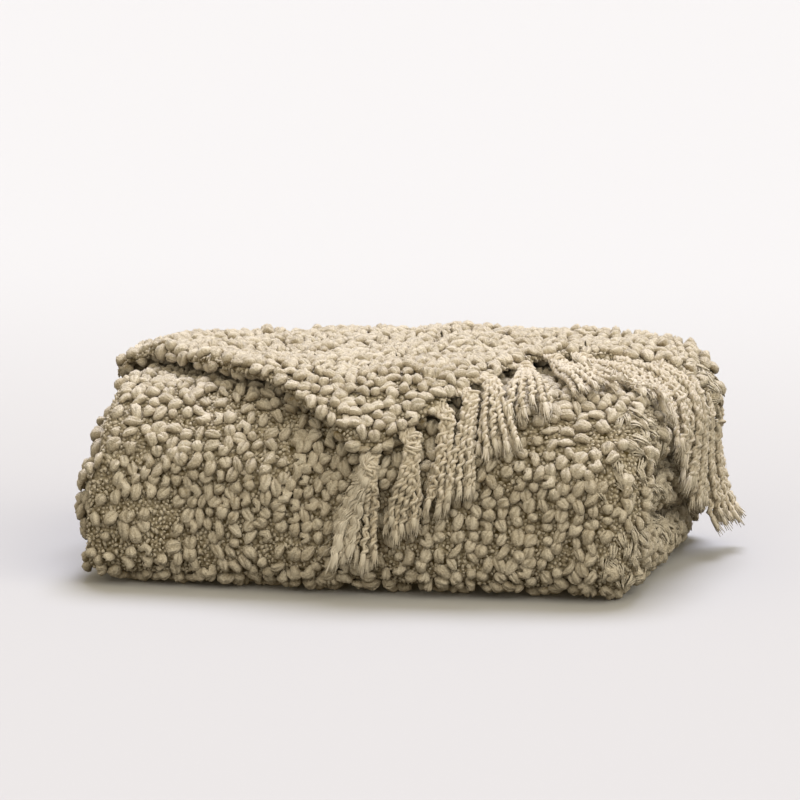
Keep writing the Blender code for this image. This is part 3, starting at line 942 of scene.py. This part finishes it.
# Painted light and shade: around paints each curl lighter on its top and darker underneath and at its root.
# Crease paints its groove darker, partly painted shade and partly its denser fibre. Tint, clumps and relief
# vary the yarn's own tone.
shade = around * 0.32 + 0.44 + tint * 0.2 + (clumps - 0.5) * 0.5 + (relief - 0.5) * 1.7 - crease * 0.33
plug(shade.clamped().mixed(CURL_SHADED_ROOT, CURL_LIT_TOP), shader, "Base Color")
roughed(relief, CURL_RELIEF, shader)

curl_shapes = bpy.data.collections.new("curl_shapes")
crumb_shapes = bpy.data.collections.new("crumb_shapes")
tuft_shapes = bpy.data.collections.new("tuft_shapes")
draw = np.random.default_rng(21)
for name, copies, *sizes in CURLS:
    for copy in range(copies):
        curl_shapes.objects.link(curl_mesh(f"{name}_{copy}", draw, *sizes))
for copy in range(CRUMB_COPIES):
    crumb_shapes.objects.link(crumb_mesh(f"crumb_{copy}", draw))
    tuft_shapes.objects.link(tuft_mesh(f"tuft_{copy}", draw))
scatter, sockets = scatter_tree()
LOOP_SLICES = (
    # from x, to x, name
    (-1.0, -0.145, "left"),
    (-0.145, -0.05, "left_middle"),
    (-0.05, 0.045, "middle"),
    (0.045, 0.13, "right_middle"),
    (0.13, 0.19, "right"),
    (0.19, 1.0, "right_side"),
)
for start, end, label in LOOP_SLICES:
    curls = scattered(
        "boucle_curls_" + label, cloth.data, scatter, sockets,
        {
            "Spacing": 0.0078, "Crumb spacing": 0.0028, "Crumb clearance": 0.0044, "Tuft spacing": 0.0060,
            "From x": start, "To x": end, "Smallest": 0.90, "Largest": 1.31,
            "Tilt": 0.35, "Turn on walls": 0.7, "Droop on walls": 0.40,
            "Curls": curl_shapes, "Crumbs": crumb_shapes, "Tufts": tuft_shapes,
            "Finish": curl_material, "Seed": 4,
        },
    )
    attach(curls, "root")
for shape in (*curl_shapes.objects, *crumb_shapes.objects, *tuft_shapes.objects):
    bpy.data.objects.remove(shape)


# The fringe: warp yarns left long at one end of the throw, gathered into tassels just off the hem and wound
# round there. Each yarn is two soft plies laid round each other and teased out at its cut end. Half of the
# corner's yarns have come undone into one loose bunch, each a soft core with thin plies laid round it.
STRAND_LOW = 0.0030
STRAND_LAYER = 0.0042
STRAND_UNEVEN = 0.10
STRAND_SPACING = 0.0016
STRAND_POINTS = 40
STRAND_FLOOR = 0.003
STRAND_WAVE = 0.0008
ROOT_SPREAD = 0.0100
GATHER_AT = 0.015
CORNER_OUTWARD = (0.0, 1.0)
GATHER_SPREAD = 0.0075
TIP_HEIGHT = 0.006
HEM_STEP = 0.005
BUNCH_STEP = 0.0042
ROOT_POINTS = 8
ROOT_TUCK = 0.004
HEM_CLEAR = 0.001
YARN_PITCH = 0.0092
PLY_RADIUS = 0.00142
PLY_OFFSET = 0.00112
CRIMP_DEPTH = 0.0012
CRIMP_LENGTH = 0.0090
CRIMP_FROM = 0.012
PLY_SIDES = 4
PLY_BEAD = 0.30
LOOSE_PLIES = 9
LOOSE_SPREAD = 0.0034
LOOSE_PLY = 0.5
LOOSE_CORE = 0.0030
LOOSE_TINT = 0.6
BRUSH_LENGTH = 0.011
BRUSH_OVERLAP = 0.7
BRUSH_RADIUS = 0.0021
BRUSH_SWELL = (0.7, 1.0, 1.05, 0.95, 0.7, 0.25)
BRUSH_BOW = 0.16
BRUSH_TINT = 0.2
BRUSH_FIBRES = 8
FIBRE_RADIUS = 0.00055
FIBRE_TINT = 0.3
FUZZ_FROM = 0.0019
FUZZ_LENGTH = 0.0055
FUZZ_RADIUS = 0.00014
NEST_RADIUS = 0.0052
NEST_YARN = 0.0011
NEST_SHIFT = 0.006
# thickness, how far a ply runs to a turn, amount of fuzz, its spacing
TIGHT_YARN = (1.0, YARN_PITCH, 1.0, 0.0060)
LOOSE_YARN = (1.5, 0.060, 3.0, 0.0010)
TASSELS = (
    # root from the fold, tips from the fold, tips across, tips' height, fan, strands, loose ones among them,
    # loops round its head
    (0.279, 0.382, 0.003, 0.006, 0.031, 8, 4, 12),
    (0.262, 0.370, 0.038, 0.006, 0.026, 9, 0, 11),
    (0.247, 0.354, 0.065, 0.006, 0.018, 6, 0, 3),
    (0.234, 0.340, 0.080, 0.006, 0.022, 7, 0, 4),
    (0.217, 0.284, 0.110, 0.006, 0.028, 8, 0, 3),
    (0.160, 0.258, 0.128, 0.006, 0.032, 9, 0, 4),
    (0.118, 0.226, 0.174, 0.006, 0.034, 9, 0, 3),
    (0.107, 0.206, 0.226, 0.006, 0.032, 9, 1, 3),
    (0.096, 0.172, 0.262, 0.006, 0.032, 9, 0, 3),
    (0.086, 0.124, 0.296, 0.006, 0.032, 9, 0, 3),
    (0.074, 0.092, 0.320, 0.012, 0.029, 9, 0, 2),
    (0.056, 0.056, 0.338, 0.028, 0.029, 9, 0, 2),
    (0.034, 0.026, 0.337, 0.035, 0.030, 9, 0, 2),
)


def run_along(line):
    """How far along a line each of its points lies."""
    return np.concatenate([[0], np.cumsum(np.linalg.norm(np.diff(line, axis=0), axis=1))])


def carried(line):
    """Two directions square to a line at each of its points, carried along it without twisting."""
    way = np.gradient(line, axis=0)
    way /= np.linalg.norm(way, axis=1)[:, None]
    one = np.empty_like(way)
    side = np.cross(way[0], (0.31, 0.2, 0.93))
    for k, ahead in enumerate(way):
        side = side - ahead * np.dot(side, ahead)
        side /= np.linalg.norm(side)
        one[k] = side
    return one, np.cross(way, one)


class Yarns:
    """Tubes of yarn in one mesh. Its points know how far along they lie and how much they face outwards."""

    def __init__(self):
        self.points, self.faces, self.values, self.count = [], [], [], 0

    def tube(self, line, radii, sides, tint, along=0.0, core=None):
        line = np.asarray(line)
        radii = np.broadcast_to(radii, len(line))
        one, two = carried(line)
        turns = np.arange(sides) * 2 * pi / sides
        ring = one[:, None] * np.cos(turns)[None, :, None] + two[:, None] * np.sin(turns)[None, :, None]
        self.points.append((line[:, None] + ring * radii[:, None, None]).reshape(-1, 3))
        run = along + run_along(line)
        # facing: how much each side of a ply looks away from the yarn's core, or 1 where there is no core. The
        # material paints the inner sides darker, as painted shade.
        facing = np.ones((len(line), sides))
        if core is not None:
            out = line - core
            facing = (ring * (out / np.linalg.norm(out, axis=1)[:, None])[:, None]).sum(2)
        self.values.append(np.stack([np.repeat(run, sides), facing.ravel(), np.full(len(line) * sides, tint)]))
        self.faces += ring_faces(len(line), sides, self.count)
        last = self.count + (len(line) - 1) * sides
        self.faces.append(tuple(self.count + k for k in reversed(range(sides))))
        self.faces.append(tuple(last + k for k in range(sides)))
        self.count += len(line) * sides

    def made(self, name, material):
        obj = mesh_object(name, np.concatenate(self.points), self.faces)
        values = np.concatenate(self.values, 1)
        for label, row in zip(("along", "around", "tint"), values):
            add_values(obj.data, label, row)
        obj.data.materials.append(material)
        return obj


def evenly(line):
    """The line again, with its points evenly spaced."""
    run = run_along(line)
    spots = np.linspace(0, run[-1], max(int(run[-1] / STRAND_SPACING), 3))
    return np.stack([np.interp(spots, run, line[:, k]) for k in range(3)], 1)


def add_yarn(yarns, line, tint, draw, loose):
    """A crimped yarn along a line, tight or loose, with the brush at its end and the fuzz along it."""
    thickness, pitch, fuzz, fuzz_spacing = LOOSE_YARN if loose else TIGHT_YARN
    line = evenly(line)
    one, two = carried(line)
    run = np.arange(len(line)) * STRAND_SPACING
    start, *phases = draw.uniform(0, 2 * pi, 5)
    depth = CRIMP_DEPTH * np.clip(run / CRIMP_FROM - 0.4, 0, 1) * draw.uniform(0.6, 1.4)
    wave = 2 * pi * run / (CRIMP_LENGTH * draw.uniform(0.85, 1.2)) + 0.6 * np.sin(run * 90 + phases[0])
    aside = depth * np.sin(wave + phases[1])
    upward = depth * 0.7 * np.sin(wave * 0.83 + phases[2])
    line = line + one * aside[:, None] + two * upward[:, None]
    one, two = carried(line)
    twist_end = run[-1] - BRUSH_LENGTH * BRUSH_OVERLAP
    kept = run <= twist_end
    left = twist_end - run[kept]
    plies = [(0, PLY_OFFSET, 1, 0), (pi, PLY_OFFSET, 1, 0)]
    if loose:
        turns, shares = draw.uniform(0, 2 * pi, LOOSE_PLIES), draw.uniform(0.75, 1.15, LOOSE_PLIES)
        plies = [(turn, LOOSE_SPREAD * share, LOOSE_PLY, turn) for turn, share in zip(turns, shares)]
        lumps = 1 + 0.12 * np.sin(run * 210 + start) + 0.12 * np.sin(run * 340 + phases[0])
        thick = LOOSE_CORE * lumps[kept]
        yarns.tube(line[kept], thick * np.clip(left / 0.006, 0.5, 1), 8, tint)
    for ply, offset, bulk, lag in plies:
        turn = 2 * pi * run / pitch + start + ply + 0.6 * np.sin(run * 130 + phases[3] + lag)
        offset = offset * (1 + 0.15 * np.sin(run * 170 + start + lag))
        path = line + offset[:, None] * (one * np.cos(turn)[:, None] + two * np.sin(turn)[:, None])
        beads = 1 + PLY_BEAD * np.sin(4 * pi * run / YARN_PITCH + start * 3 + ply)
        thick = PLY_RADIUS * bulk * beads[kept]
        yarns.tube(path[kept], thick * np.clip(left / 0.004, 0.45, 1), PLY_SIDES, tint, core=line[kept])
    # The brush.
    base = kept.sum() - 3
    ahead = line[-1] - line[base]
    ahead /= np.linalg.norm(ahead)
    reach = BRUSH_LENGTH * draw.uniform(0.8, 1.15)
    t = np.linspace(0, 1, len(BRUSH_SWELL))[:, None]
    bow = draw.uniform(-1, 1, 3) * BRUSH_BOW
    middle = line[base] + reach * 0.9 * (ahead * t + bow * t * t)
    swell = np.array(BRUSH_SWELL) * BRUSH_RADIUS * thickness
    yarns.tube(middle, swell, 6, tint + BRUSH_TINT, run[base])
    for fibre in range(BRUSH_FIBRES):
        around = 2 * pi * fibre / BRUSH_FIBRES + start
        outward = one[base] * cos(around) + two[base] * sin(around)
        length = reach * draw.uniform(0.85, 1.25)
        lay = draw.uniform(0.6, 1.3) * swell.max() * (0.5 + t * (1 - 0.35 * t))
        path = line[base] + length * (ahead * t + bow * t * t) + outward * lay
        yarns.tube(path, FIBRE_RADIUS * (1 - 0.6 * t[:, 0]), 3, tint + FIBRE_TINT, run[base])
    # The fuzz.
    for spot in np.arange(CRIMP_FROM, twist_end, fuzz_spacing):
        k = int(spot / STRAND_SPACING)
        around = draw.uniform(0, 2 * pi)
        outward = one[k] * cos(around) + two[k] * sin(around)
        forward = line[min(k + 2, len(line) - 1)] - line[k]
        forward /= np.linalg.norm(forward)
        t = np.linspace(0, 1, 3)[:, None]
        lean = draw.uniform(0.2, 0.9)
        length = FUZZ_LENGTH * draw.uniform(0.6, 1.4) * fuzz**0.5
        lay = forward * t + outward * lean * t * (1 - 0.6 * t)
        path = line[k] + outward * FUZZ_FROM * thickness + length * lay
        yarns.tube(path, FUZZ_RADIUS * fuzz**0.5 * (1 - 0.5 * t[:, 0]), 3, tint + FIBRE_TINT, spot)


FRINGE_DARK = (0.37, 0.285, 0.165)
FRINGE_LIGHT = (0.71, 0.65, 0.55)
FRINGE_SHEEN = (0.95, 0.9, 0.8)
FRINGE_RELIEF = 0.0005
fringe_material, shader, tint, along, around = spun_material(
    "fringe_yarn", 0.9, 0.35, FRINGE_SHEEN, "tint", "along", "around"
)
fibres = fibre_noise(along * 330, around * 2.5, tint, 3, 0.65)
# Painted shade: around paints each ply darker on its side towards the yarn's core. Tint and fibres vary the
# yarn's own tone.
shade = (around * 0.2 + 0.46 + tint * 0.35 + (fibres - 0.5) * 0.9).clamped()
plug(shade.mixed(FRINGE_DARK, FRINGE_LIGHT), shader, "Base Color")
roughed(fibres, FRINGE_RELIEF, shader, 0.4)

for number, row in enumerate(TASSELS, 1):
    forward, tip_forward, tip_x, tip_height, fan, count, bunched, loops = row
    draw = np.random.default_rng(100 + number)
    root = np.array((flap_edge(forward, 2), forward))
    slope = (flap_edge(forward + HEM_STEP, 2) - flap_edge(forward - HEM_STEP, 2)) / (2 * HEM_STEP)
    outward = np.array(CORNER_OUTWARD if forward == FLAP_OUTLINE[-1][0] else (1, -slope))
    outward /= np.hypot(*outward)
    gather = root + outward * GATHER_AT
    run = np.array((tip_x, tip_forward)) - gather
    length = np.hypot(*run)
    way = run / length
    beside = np.array((way[1], -way[0]))
    hem_side = np.array((outward[1], -outward[0]))
    if np.dot(hem_side, beside) < 0:
        hem_side = -hem_side
    hem_height = FLAP_RISE + FLAP_PLY / 2
    shares = np.linspace(-0.5, 0.5, count)
    if bunched:
        shares[:bunched] = np.arange(bunched) * BUNCH_STEP / fan - 0.5
    yarns = Yarns()
    for k, share in enumerate(shares):
        reach = length * (1 - STRAND_UNEVEN * draw.uniform(0, 1))
        low = STRAND_LOW + STRAND_LAYER * (k % 2)
        phase, sway, slip = draw.uniform(0, 6, 2), draw.uniform(0.0004, 0.0018), draw.uniform(-0.001, 0.001)
        t = np.linspace(0, 1, STRAND_POINTS)
        spread = share * (GATHER_SPREAD + (fan - GATHER_SPREAD) * t * (1 + t * (3 - 2 * t)) / 2) + slip * t
        spread = spread + sway * t * np.sin(7 * t + phase[0])
        plan = gather + way * (reach * t)[:, None] + beside * spread[:, None]
        height = hem_height + HEM_CLEAR + (low - hem_height) * np.clip(4 * t, 0, 1)
        height = height + (tip_height - TIP_HEIGHT) * t**2
        height = height + STRAND_WAVE * t * np.sin(9 * t + phase[1])
        start = root - outward * ROOT_TUCK + hem_side * share * ROOT_SPREAD
        lead = np.linspace(0, 1, ROOT_POINTS)[:-1, None]
        plan = np.concatenate([start + (plan[0] - start) * lead, plan])
        height = np.concatenate([hem_height + HEM_CLEAR * lead[:, 0], height])
        line = over_stack(plan[:, 0], plan[:, 1], height)
        line[:, 2] = np.maximum(line[:, 2], STRAND_FLOOR)
        loose = k < bunched
        add_yarn(yarns, line, draw.uniform(0.1, 0.6) + LOOSE_TINT * loose, draw, loose)
    for _ in range(loops):
        turn = np.linspace(0, 2 * pi * draw.uniform(0.6, 1.0), 13) + draw.uniform(0, 6)
        radius = NEST_RADIUS * draw.uniform(0.7, 1.15)
        spots = gather + way * np.array((draw.uniform(-NEST_SHIFT, NEST_SHIFT), 2 * NEST_SHIFT))[:, None]
        middle, further = over_stack(spots[:, 0], spots[:, 1], hem_height)
        axis = (further - middle) / np.linalg.norm(further - middle) + draw.normal(0, 0.45, 3)
        one = np.cross(axis, draw.normal(0, 1, 3))
        one /= np.linalg.norm(one)
        two = np.cross(one, axis) / np.linalg.norm(axis)
        line = middle + radius * (one * np.cos(turn)[:, None] + two * np.sin(turn)[:, None])
        yarns.tube(line, NEST_YARN, 6, draw.uniform(-0.2, 0.4))
    tassel = yarns.made(f"tassel_yarns_{number:02d}", fringe_material)
    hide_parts(f"tassel_{number:02d}")
    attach(tassel, "root")
